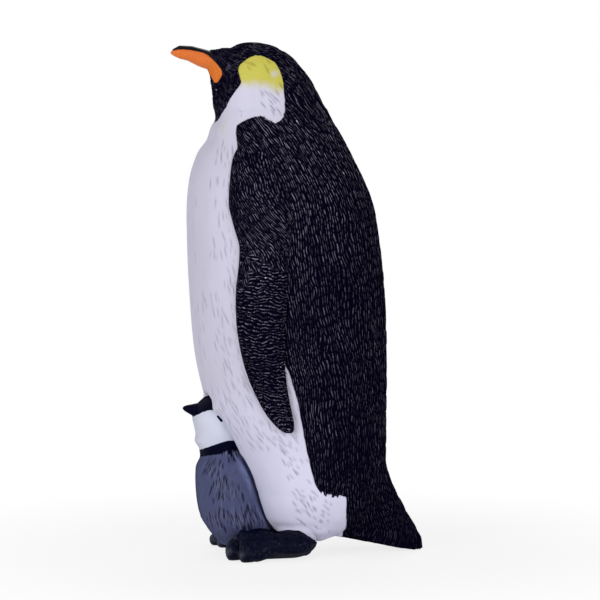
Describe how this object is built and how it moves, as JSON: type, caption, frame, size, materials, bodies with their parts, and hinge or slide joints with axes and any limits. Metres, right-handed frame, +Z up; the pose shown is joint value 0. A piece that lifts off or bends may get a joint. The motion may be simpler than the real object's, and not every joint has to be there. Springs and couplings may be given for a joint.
{
  "type": "penguin and chick figurine",
  "caption": "Standing penguin figurine with a chick on its feet: a hollow moulded vinyl body with plugged-in head, bill, flippers and feet, resting on its soles and tail.",
  "frame": {"origin": "on the table, under the middle of the figure's bounding box", "axes": "+Z up, the penguin faces -Y, its left side is +X"},
  "size_m": [0.0408, 0.0474, 0.0944],
  "materials": {
    "white_feathers": "satin hand-painted vinyl, lilac white",
    "black_feathers": "satin hand-painted vinyl, blue black",
    "orange_bill": "satin hand-painted vinyl, orange",
    "black_feet": "satin hand-painted vinyl, black",
    "grey_down": "matt hand-painted vinyl, blue grey",
    "white_down": "matt hand-painted vinyl, white"
  },
  "bodies": {
    "root": {"belly_shell": "white_feathers", "back_shell": "black_feathers", "head": "black_feathers", "bill": "orange_bill", "left_flipper": "black_feathers", "right_flipper": "black_feathers", "left_foot": "black_feet", "right_foot": "black_feet", "chick_body": "grey_down", "chick_head": "white_down"}
  },
  "joints": []
}
